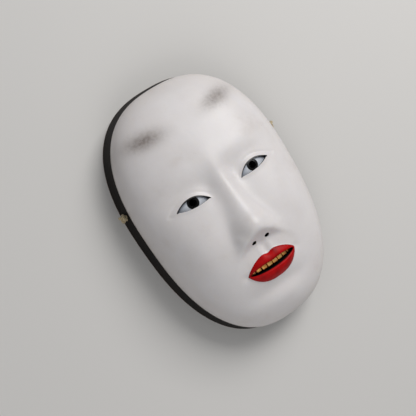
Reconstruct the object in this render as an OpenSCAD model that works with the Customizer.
// Noh mask lying face up on its back rim.
// Units are millimetres. X runs across the face, Y from chin to forehead, Z out of the face.
// The middle of the back rim is the origin and the rim lies in the plane z = 0.

/* [Outline] */
// Length of the back rim, crown to chin
rim_length = 212; // [190:1:230]
// Width of the back rim, side to side
rim_width = 140; // [120:1:150]
// Height of the dark side wall
wall_height = 20; // [15:0.5:26]
// How far the side wall spreads out on its way down to the rim
wall_flare = 3; // [1:0.5:5]
// Rise of the forehead above the side wall
face_rise = 34; // [28:0.5:40]
// Squareness of the outline, 2 is an ellipse
squareness = 2.5; // [2.2:0.1:3]

/* [Layers] */
// Thickness of the white ground over the carved wood
skin_thick = 0.8; // [0.6:0.1:1.2]
// Thickness of the dark lacquer on the side wall
lacquer_thick = 0.4; // [0.2:0.1:0.6]
// Thickness of the dark lacquer inside the hollow
lining_thick = 0.5; // [0.3:0.1:0.8]

/* [Hollow] */
// Width of the wooden rim around the hollow
rim_land = 11; // [8:0.5:14]
// Depth of the hollow at its middle
hollow_depth = 42; // [34:0.5:43]
// Extra depth of the pocket behind the nose
nose_pocket = 8; // [0:0.5:9]

/* [Eyes] */
// Tallest part of the upper lid above the middle line of the eye
lid_up = 5.4; // [4:0.1:6.5]
// Lowest part of the lower lid under the middle line of the eye
lid_down = 2; // [1:0.1:3]
// Rise of the outer corner over the middle of the eye
lid_slant = 1.7; // [0:0.1:3]
// Diameter of the hole through each pupil
pupil_d = 5.6; // [4.5:0.1:6.4]

/* [Nose] */
// Height of the nose tip over the plane of the face
nose_height = 14.6; // [12:0.2:16]
// Diameter of each nostril hole
nostril_d = 4; // [3:0.1:4.6]

/* [Mouth] */
// Half the width of the mouth
mouth_half = 21.5; // [19:0.5:24]
// Height of the upper lip
lip_upper = 7.6; // [6:0.1:9]
// Height of the lower lip
lip_lower = 8.6; // [7:0.1:10]
// Opening above the middle line of the mouth
gap_up = 3; // [1.5:0.1:3.5]
// Opening under the middle line of the mouth
gap_down = 3; // [2:0.1:3.5]
// Width of one tooth
tooth_w = 4.3; // [3.5:0.1:4.6]
// Number of teeth
tooth_count = 8; // [4:2:8]

/* [Cord] */
// Diameter of the hanging cord
cord_d = 3; // [2.5:0.1:3.4]
// Diameter of the cord hole in each side wall
hole_d = 4; // [3.6:0.1:5]
// Distance of the cord holes from the middle, toward the forehead
hole_y = 30; // [20:1:40]
// Height of the cord holes above the rim
hole_z = 11; // [9:0.5:13]
// Size across one cord knot
knot_d = 8; // [7:0.1:9]

/* [Hidden] */

half_l = rim_length / 2 - wall_flare;
half_w = rim_width / 2 - wall_flare;
third = 0.631 * half_l;
nose_y = -0.52 * third;
brow_y = nose_y + third;
eye_y = brow_y - 0.29 * third;
mouth_y = nose_y - third / 3;
chin_y = nose_y - third;
eye_w = 0.412 * half_w;
eye_x = eye_w;
eye_floor = wall_height + face_rise - 8;
ball_r = 27;
bore_r = pupil_d / 2;
knot_x = rim_width / 2 - wall_flare * hole_z / wall_height + 0.31 * knot_d;

// Grid lines of the carved surface in both directions, from -1 to 1
half_cols = 17;
cols = [for (i = [-half_cols:half_cols]) let (t = i / half_cols) t * (0.5 + 0.5 * t * t)];
rows = concat([-1, -0.95, -0.88, -0.8, -0.72, -0.65, -0.59, -0.54, -0.5],
    [for (i = [0:14]) -0.47 + 0.019 * i],
    [for (i = [0:13]) -0.18 + 0.024 * i],
    [0.165, 0.2, 0.24, 0.29, 0.35, 0.42, 0.5, 0.59, 0.69, 0.79, 0.88, 0.95, 1]);
col_n = len(cols);
row_n = len(rows);

function bell(a, b = 0) = exp(-(a * a + b * b));
function two_bells(x, y, cx, cy, rx, ry) =
    bell((x - cx) / rx, (y - cy) / ry) + bell((x + cx) / rx, (y - cy) / ry);
function blend_up(p, q, k) = 0.5 * (p + q + sqrt((p - q) * (p - q) + k * k));
function blend_down(p, q, k) = 0.5 * (p + q - sqrt((p - q) * (p - q) + k * k));
function clamp(t) = min(max(t, 0), 1);
function ease(t) = clamp(t) * clamp(t) * (3 - 2 * clamp(t));
function power(v, e) = v <= 0 ? 0 : pow(v, e);

// Outline and the plain dome under the features
function width_at(y) = half_w * (1 + 0.06 * y / half_l);
function oval_power(x, y) =
    power(abs(x) / width_at(y), squareness) + power(abs(y) / half_l, squareness);
function dome(x, y) = wall_height + face_rise * sqrt(max(1 - oval_power(x, y), 0));

// Lids, measured along the eye from -1 at the inner corner to 1 at the outer corner
function lid_top(s) = eye_y + lid_slant * s + lid_up * (1 - s * s) * (1 - 0.18 * s);
function lid_low(s) = eye_y + lid_slant * s - lid_down * (1 - s * s) * (1 + 0.3 * s);
function lid_edge(x, y) =
    let (s = (x - eye_x) * 2 / eye_w)
    blend_up(y - lid_top(s), lid_low(s) - y, 0.3);
function eye_bulge(x, y) =
    dome(0, eye_y) - 1.8 - pow(x - eye_x + 4, 2) / 54 - pow(y - eye_y - 1, 2) / 40;

// Lips, measured along the mouth from -1 at one corner to 1 at the other
function mouth_mid(s) = mouth_y + 0.8 * s * s;
function mouth_open(s) = sqrt(max(1 - pow(s / 0.92, 2), 0));
function mouth_top(s) = mouth_mid(s) + gap_up * mouth_open(s) - 0.5 * bell(s / 0.16);
function mouth_low(s) = mouth_mid(s) - gap_down * mouth_open(s);
function lip_top(s) =
    mouth_mid(s) + (lip_upper + gap_up) * power(1 - power(abs(s), 1.9), 0.8) - 1.7 * bell(s / 0.15);
function lip_low(s) =
    mouth_mid(s) - (lip_lower + gap_down) * power(1 - power(abs(s), 2.6), 0.8);
function lip_height(x, y) =
    let (s = clamp(abs(x) / mouth_half))
    let (mid = mouth_mid(s), upper = y > mid)
    let (reach = max(upper ? lip_top(s) - mid : mid - lip_low(s), 0.5))
    let (t = clamp(abs(y - mid) / reach))
    let (swell = upper ? 3 * power(1 - t * t, 0.8) : 3.6 * power(1 - power(t, 2.6), 0.8))
    let (d = max((upper ? y - mouth_top(s) : mouth_low(s) - y) + 0.5, 0))
    (swell - 1.5 * bell(d / 1.1)) * power(1 - power(s, 2.6), 0.6);

// Nose over the dome: bridge, tip and wings, closed from below
function nose(x, y) =
    let (z0 = dome(0, y))
    let (t = min(max((brow_y - 5 - y) / 50, 0), 1.15))
    let (w = 5 + 4.2 * t)
    let (ridge = z0 + 0.2 + (nose_height - 2) * pow(t, 1.3))
    let (bridge = ridge - 1.05 * (sqrt(x * x + w * w) - w) - 0.04 * pow(max(y - brow_y + 5, 0), 2))
    let (tip = z0 + nose_height - 5 * pow(x / 9.5, 2) - 5 * pow((y - nose_y - 9.5) / 10.5, 2))
    let (side = abs(x) - 10.6)
    let (wing = z0 + 9 - 4.5 * pow(side / 6, 2) - 4.5 * pow((y - nose_y - 5.5) / 7, 2))
    let (body = blend_up(blend_up(bridge, tip, 3.5), wing, 1.8))
    let (under = z0 + 1.4 + 1.5 * (y - nose_y + 3) + 0.012 * x * x)
    blend_down(body, under, 3.2);

// Brow, sockets, cheeks and eyeballs
function upper_face(x, y) =
    let (base = dome(x, y))
    let (brow = two_bells(x, y, 19, brow_y + 2, 18, 9) + 0.9 * bell(x / 12, (y - brow_y - 7) / 18))
    let (socket = 2.6 * two_bells(x, y, 25, eye_y + 8, 19, 10) + 2.2 * two_bells(x, y, 13, eye_y + 4, 7, 9))
    let (cheek = 3.6 * two_bells(x, y, 33, -24, 23, 26) + 1.6 * two_bells(x, y, 46, -8, 18, 24))
    let (z = blend_up(base + brow - socket + cheek, eye_bulge(abs(x), y), 2.6) - 0.4)
    let (d = lid_edge(abs(x), y))
    z + 0.5 * bell(max(d, 0) / 1.4) - 0.5 * bell(d - 3.8) * ease((y - eye_y + 1) / 2);

// Mouth mound, chin and the hollow between them
function lower_face(x, y) =
    4.6 * bell(x / 28, (y - mouth_y) / 21) + 3.8 * bell(x / 20, (y - chin_y - 12) / 12)
    - 2.6 * bell(x / 21, (y - mouth_y + 18) / 6.5);

// The furrow over the lip and the dimples at the mouth corners
function mouth_detail(x, y) =
    let (span = ease((nose_y - 1 - y) / 5) * ease((y - mouth_y - 6) / 6))
    let (furrow = 0.9 * bell(x / 2.6) - 0.4 * bell((abs(x) - 4.6) / 2.2))
    let (dimple = 0.9 * bell((abs(x) - mouth_half - 1.2) / 3.2, (y - mouth_y - 0.8) / 2.8))
    (abs(x) <= mouth_half ? lip_height(x, y) : 0) - furrow * span - dimple;

function face(x, y) =
    let (base = dome(x, y))
    let (z = blend_up(upper_face(x, y) + lower_face(x, y), nose(x, y), 4))
    let (full = z - 0.3 * bell(x / 16, (y + 5) / 30) + mouth_detail(x, y))
    base + (full - base) * (1 - power(min(oval_power(x, y), 1), 8 / squareness));

// One point of the grid on the outline plan, with the outline itself at the grid edge
function plan_point(u, v) =
    let (px = u * sqrt(1 - v * v / 2), py = v * sqrt(1 - u * u / 2))
    let (r = max(norm([px, py]), 0.000001), c = px / r, s = py / r)
    let (edge = pow(power(abs(c), squareness) + power(abs(s), squareness), -1 / squareness))
    let (rho = edge * sin(min(r, 1) * 88.6) / sin(88.6), y = s * rho * half_l)
    [c * rho * width_at(y), y];

function inset_point(p, d) = [p[0] * (1 - d / half_w), p[1] * (1 - d / half_l), p[2] - d];
face_points = [for (v = rows) for (u = cols) let (p = plan_point(u, v)) [p[0], p[1], face(p[0], p[1])]];
// The wood is carved deeper under the lips, to leave room for them
function lip_bed(x, y) = 1.3 * ease((1.5 - norm([x / mouth_half, (y - mouth_y + 0.5) / 11])) / 0.3);
core_points = [for (p = face_points)
    let (q = inset_point(p, skin_thick))
    [q[0], q[1], q[2] - lip_bed(p[0], p[1])]];

function at(i, j) = j * col_n + i;
function grid_faces(up, start = 0) =
    [for (j = [0:row_n - 2]) for (i = [0:col_n - 2]) for (k = [0, 1])
        let (a = at(i, j) + start, b = at(i + 1, j) + start)
        let (c = at(i + 1, j + 1) + start, d = at(i, j + 1) + start)
        k == 0 ? (up ? [a, c, b] : [a, b, c]) : (up ? [a, d, c] : [a, c, d])];

// Indices of the grid edge, counter-clockwise seen from the front
loop = concat([for (i = [0:col_n - 2]) at(i, 0)], [for (j = [0:row_n - 2]) at(col_n - 1, j)],
    [for (i = [0:col_n - 2]) at(col_n - 1 - i, row_n - 1)], [for (j = [0:row_n - 2]) at(0, row_n - 1 - j)]);
loop_n = len(loop);
rim_scale = [rim_width / 2 / half_w, rim_length / 2 / half_l];

// Edge loop at some height of the side wall: 0 at the rim, 1 at the white edge
function wall_loop(t, cut, z) =
    [for (k = loop)
        let (p = face_points[k])
        let (sx = rim_scale[0] + (1 - rim_scale[0]) * t - cut / half_w)
        let (sy = rim_scale[1] + (1 - rim_scale[1]) * t - cut / half_l)
        [p[0] * sx, p[1] * sy, z]];
function band(a, b) =
    [for (k = [0:loop_n - 1]) for (h = [0, 1])
        let (n = (k + 1) % loop_n)
        h == 0 ? [a + k, b + k, b + n] : [a + k, b + n, a + n]];

// Hollow of the back, as rings around its deepest point
hollow_around = 64;
hollow_rings = 11;
function hollow_z(x, y, rho) =
    let (fall = 1 - pow(rho, 4))
    hollow_depth * sqrt(max(fall, 0)) + nose_pocket * bell(x / 15, (y + 16) / 25) * fall;
function hollow_point(i, j, cut) =
    let (a = j * 360 / hollow_around, r = i / hollow_rings)
    let (edge = pow(pow(abs(cos(a)), squareness) + pow(abs(sin(a)), squareness), -1 / squareness))
    let (rho = sin(r * 90), y = sin(a) * edge * rho * (rim_length / 2 - rim_land - cut))
    let (x = cos(a) * edge * rho * (rim_width / 2 - rim_land - cut) * (1 + 0.06 * y / half_l))
    [x, y, hollow_z(x, y, rho) - cut * (1 - pow(r, 6))];
module hollow_solid(cut) {
    n = hollow_around;
    last = 1 + (hollow_rings - 1) * n;
    points = concat([hollow_point(0, 0, cut)],
        [for (i = [1:hollow_rings]) for (j = [0:n - 1]) hollow_point(i, j, cut)],
        [for (j = [0:n - 1]) let (p = hollow_point(hollow_rings, j, cut)) [p[0], p[1], -3]]);
    cap = [for (j = [0:n - 1]) [0, 1 + (j + 1) % n, 1 + j]];
    side = [for (i = [0:hollow_rings - 1]) for (j = [0:n - 1]) for (h = [0, 1])
        let (a = 1 + i * n + j, b = 1 + i * n + (j + 1) % n)
        h == 0 ? [a, b, b + n] : [a, b + n, a + n]];
    polyhedron(concat(points), concat(cap, side, [[for (j = [0:n - 1]) last + n + j]]), 4);
}

// Outline shapes of the eyes and the mouth
eye_steps = 14;
function eye_outline() =
    concat([for (i = [0:eye_steps]) let (s = -cos(i * 180 / eye_steps)) [eye_x + s * eye_w / 2, lid_low(s)]],
        [for (i = [1:eye_steps - 1]) let (s = cos(i * 180 / eye_steps)) [eye_x + s * eye_w / 2, lid_top(s)]]);
lip_steps = 22;
lip_stations = [for (i = [0:lip_steps]) -0.985 * cos(i * 180 / lip_steps)];
function lip_rim(upper, s) = upper ? lip_top(s) : lip_low(s);
function lip_inner(upper, s) = upper ? mouth_top(s) : mouth_low(s);
// The wood stands back from the edge of the lips by this much
slot_margin = 0.3;

module eye_prism(side, bottom, height) {
    scale([side, 1, 1])
        translate([0, 0, bottom])
            linear_extrude(height = height)
                polygon(eye_outline());
}

module mouth_slot() {
    edge = concat([for (s = lip_stations) [s * mouth_half, mouth_low(s) - slot_margin]],
        [for (i = [0:lip_steps]) let (s = lip_stations[lip_steps - i])
            [s * mouth_half, mouth_top(s) + slot_margin]]);
    translate([0, 0, 20])
        linear_extrude(height = 60)
            polygon(edge);
}

module lips_cut() {
    edge = concat([for (s = lip_stations) [s * mouth_half, lip_low(s)]],
        [for (i = [0:lip_steps]) let (s = lip_stations[lip_steps - i]) [s * mouth_half, lip_top(s)]]);
    translate([0, 0, 20])
        linear_extrude(height = 60)
            polygon(edge);
}

module pupil_bore(side) {
    translate([side * (eye_x - 0.5), eye_y + 1.9, 30])
        cylinder(h = 40, r = bore_r, $fn = 48);
}

module nostril_bores() {
    for (side = [-1, 1])
        translate([side * 5.8, nose_y + 1.2, wall_height + face_rise])
            rotate([24, 0, 0])
                translate([0, 0, -22])
                    cylinder(h = 44, d = nostril_d, $fn = 36);
}

module cord_hole() {
    translate([-rim_width / 2 - 6, hole_y, hole_z])
        rotate([0, 90, 0])
            cylinder(h = rim_width + 12, d = hole_d, $fn = 36);
}

module tooth_row() {
    for (i = [0:tooth_count - 1]) {
        x = (i - (tooth_count - 1) / 2) * (tooth_w + 0.3);
        translate([x - tooth_w / 2, mouth_y - 0.9 + 0.002 * x * x, tooth_front - 3.6 - 0.014 * x * x])
            cube([tooth_w, 7.6, 3.6]);
    }
}
tooth_front = dome(0, mouth_y) + 3.6;

// A thin patch between the outer line of one lip and the mouth opening
module lip_layer(upper) {
    steps = 5;
    side = steps + 1;
    top = [for (s = lip_stations) for (k = [0:steps])
        let (y = lip_inner(upper, s) + (lip_rim(upper, s) - lip_inner(upper, s)) * k / steps)
        let (z = face(s * mouth_half, y))
        [s * mouth_half, y, z + 0.2]];
    low = [for (p = top) [p[0], p[1], p[2] - 1.8]];
    n = len(top);
    flip = upper;
    quads = [for (i = [0:lip_steps - 1]) for (k = [0:steps - 1]) for (h = [0, 1])
        let (a = i * side + k, b = a + side)
        h == 0 ? [a, b, b + 1] : [a, b + 1, a + 1]];
    ends = concat([for (k = [0:steps]) k], [for (k = [0:steps]) n + steps - k]);
    far = [for (k = [0:steps]) lip_steps * side + k];
    far_end = concat([for (k = [0:steps]) far[steps - k]], [for (k = [0:steps]) n + far[k]]);
    inner = [for (i = [0:lip_steps - 1])
        [i * side, n + i * side, n + (i + 1) * side, (i + 1) * side]];
    outer = [for (i = [0:lip_steps - 1])
        [i * side + steps, (i + 1) * side + steps, n + (i + 1) * side + steps, n + i * side + steps]];
    under = [for (q = quads) [q[0] + n, q[2] + n, q[1] + n]];
    all_faces = concat(quads, under, inner, outer, [ends], [far_end]);
    polyhedron(concat(top, low), [for (f = all_faces) flip ? [for (k = [len(f) - 1:-1:0]) f[k]] : f], 4);
}

// Middle line of the cord, from the left knot through both holes to the right knot
cord_route = [[-72, 30, 11], [-64, 30, 11], [-56, 30, 10.5], [-48, 26, 7], [-42, 16, 2.8],
    [-37, 2, 1.7], [-28, -14, 1.7], [-14, -21, 1.7], [-3, -13, 1.7], [1, 2, 1.7], [6, 18, 1.7],
    [16, 28, 1.7], [27, 27, 1.7], [35, 20, 2], [43, 18, 4.6], [50, 24, 9], [57, 29, 10.8], [64, 30, 11],
    [72, 30, 11]];
function spline(a, b, c, d, t) =
    0.5 * (2 * b + (c - a) * t + (2 * a - 5 * b + 4 * c - d) * t * t + (3 * b - a - 3 * c + d) * t * t * t);
cord_steps = 3;
route_n = len(cord_route);
function route_at(i) = cord_route[min(max(i, 0), route_n - 1)];
cord_line = concat([for (i = [0:route_n - 2]) for (k = [0:cord_steps - 1])
    spline(route_at(i - 1), route_at(i), route_at(i + 1), route_at(i + 2), k / cord_steps)],
    [cord_route[route_n - 1]]);

module tube(line, d, sides) {
    n = len(line);
    rings = [for (i = [0:n - 1])
        let (dir = line[min(i + 1, n - 1)] - line[max(i - 1, 0)], along = dir / norm(dir))
        let (across = cross(along, [0, 0, 1]), u = across / norm(across), w = cross(u, along))
        for (k = [0:sides - 1])
            line[i] + (u * cos(k * 360 / sides) + w * sin(k * 360 / sides)) * d / 2];
    walls = [for (i = [0:n - 2]) for (k = [0:sides - 1]) for (h = [0, 1])
        let (a = i * sides + k, b = i * sides + (k + 1) % sides)
        h == 0 ? [a, a + sides, b + sides] : [a, b + sides, b]];
    ends = [[for (k = [0:sides - 1]) k], [for (k = [0:sides - 1]) (n - 1) * sides + sides - 1 - k]];
    polyhedron(rings, concat(walls, ends), 4);
}

module wood_core() {
    color([0.72, 0.55, 0.36])
        difference() {
            polyhedron(concat(core_points, wall_loop(0, lacquer_thick, 0)),
                concat(grid_faces(true), core_wall(), [core_bottom()]), 4);
            hollow_solid(0);
            eye_prism(-1, eye_floor, 20);
            eye_prism(1, eye_floor, 20);
            pupil_bore(-1);
            pupil_bore(1);
            nostril_bores();
            mouth_slot();
            tooth_row();
            cord_hole();
        }
}
function core_wall() =
    [for (k = [0:loop_n - 1]) for (h = [0, 1])
        let (n = (k + 1) % loop_n, low = len(core_points))
        h == 0 ? [low + k, loop[n], low + n] : [low + k, loop[k], loop[n]]];
function core_bottom() = [for (k = [0:loop_n - 1]) len(core_points) + k];

module gofun_face() {
    color([0.93, 0.92, 0.89])
        difference() {
            polyhedron(concat(face_points, core_points),
                concat(grid_faces(true), grid_faces(false, len(face_points)), skin_edge()), 4);
            eye_prism(-1, eye_floor, 30);
            eye_prism(1, eye_floor, 30);
            nostril_bores();
            lips_cut();
        }
}
function skin_edge() =
    [for (k = [0:loop_n - 1]) for (h = [0, 1])
        let (a = loop[k], b = loop[(k + 1) % loop_n], m = len(face_points))
        h == 0 ? [a, b, b + m] : [a, b + m, a + m]];

module side_lacquer() {
    top_z = wall_height - skin_thick;
    color([0.13, 0.1, 0.09])
        difference() {
            polyhedron(concat(wall_loop(0, 0, 0), wall_loop(1, skin_thick - lacquer_thick, top_z),
                wall_loop(1, skin_thick, top_z), wall_loop(0, lacquer_thick, 0)),
                concat(band(0, loop_n), band(loop_n, 2 * loop_n), band(2 * loop_n, 3 * loop_n),
                    band(3 * loop_n, 0)), 4);
            cord_hole();
        }
}

module back_lacquer() {
    color([0.19, 0.13, 0.1])
        difference() {
            hollow_solid(0);
            hollow_solid(lining_thick);
            translate([-150, -150, -10])
                cube([300, 300, 10]);
            pupil_bore(-1);
            pupil_bore(1);
            nostril_bores();
            mouth_slot();
            cord_hole();
        }
}

module upper_lip() {
    color([0.72, 0.09, 0.11])
        lip_layer(true);
}

module lower_lip() {
    color([0.76, 0.12, 0.14])
        lip_layer(false);
}

module eye_plate(side) {
    top = dome(0, eye_y) - 2.2;
    difference() {
        intersection() {
            eye_prism(side, eye_floor, 20);
            translate([side * (eye_x - 3), eye_y + 1, top - ball_r])
                sphere(r = ball_r, $fn = 96);
        }
        pupil_bore(side);
    }
}

module left_eye() {
    color([0.82, 0.83, 0.85])
        eye_plate(-1);
}

module right_eye() {
    color([0.82, 0.83, 0.85])
        eye_plate(1);
}

module gilt_teeth() {
    color([0.83, 0.66, 0.3])
        tooth_row();
}

module cord() {
    color([0.86, 0.8, 0.67])
        tube(cord_line, cord_d, 8);
}

// Two crossed turns of cord around a tight middle
module knot(side) {
    translate([side * knot_x, hole_y, hole_z])
        difference() {
            union() {
                sphere(d = 0.62 * knot_d, $fn = 40);
                rotate([0, 90, 0])
                    rotate_extrude($fn = 48)
                        translate([0.31 * knot_d, 0])
                            circle(d = 0.36 * knot_d, $fn = 24);
                rotate([90, 0, 30])
                    rotate_extrude($fn = 48)
                        translate([0.22 * knot_d, 0])
                            circle(d = 0.36 * knot_d, $fn = 24);
            }
            translate([-side * 6, 0, 0])
                rotate([0, 90, 0])
                    cylinder(h = 12, d = cord_d, center = true, $fn = 24);
        }
}

module left_knot() {
    color([0.84, 0.77, 0.63])
        knot(-1);
}

module right_knot() {
    color([0.84, 0.77, 0.63])
        knot(1);
}

wood_core();
gofun_face();
side_lacquer();
back_lacquer();
upper_lip();
lower_lip();
left_eye();
right_eye();
gilt_teeth();
cord();
left_knot();
right_knot();
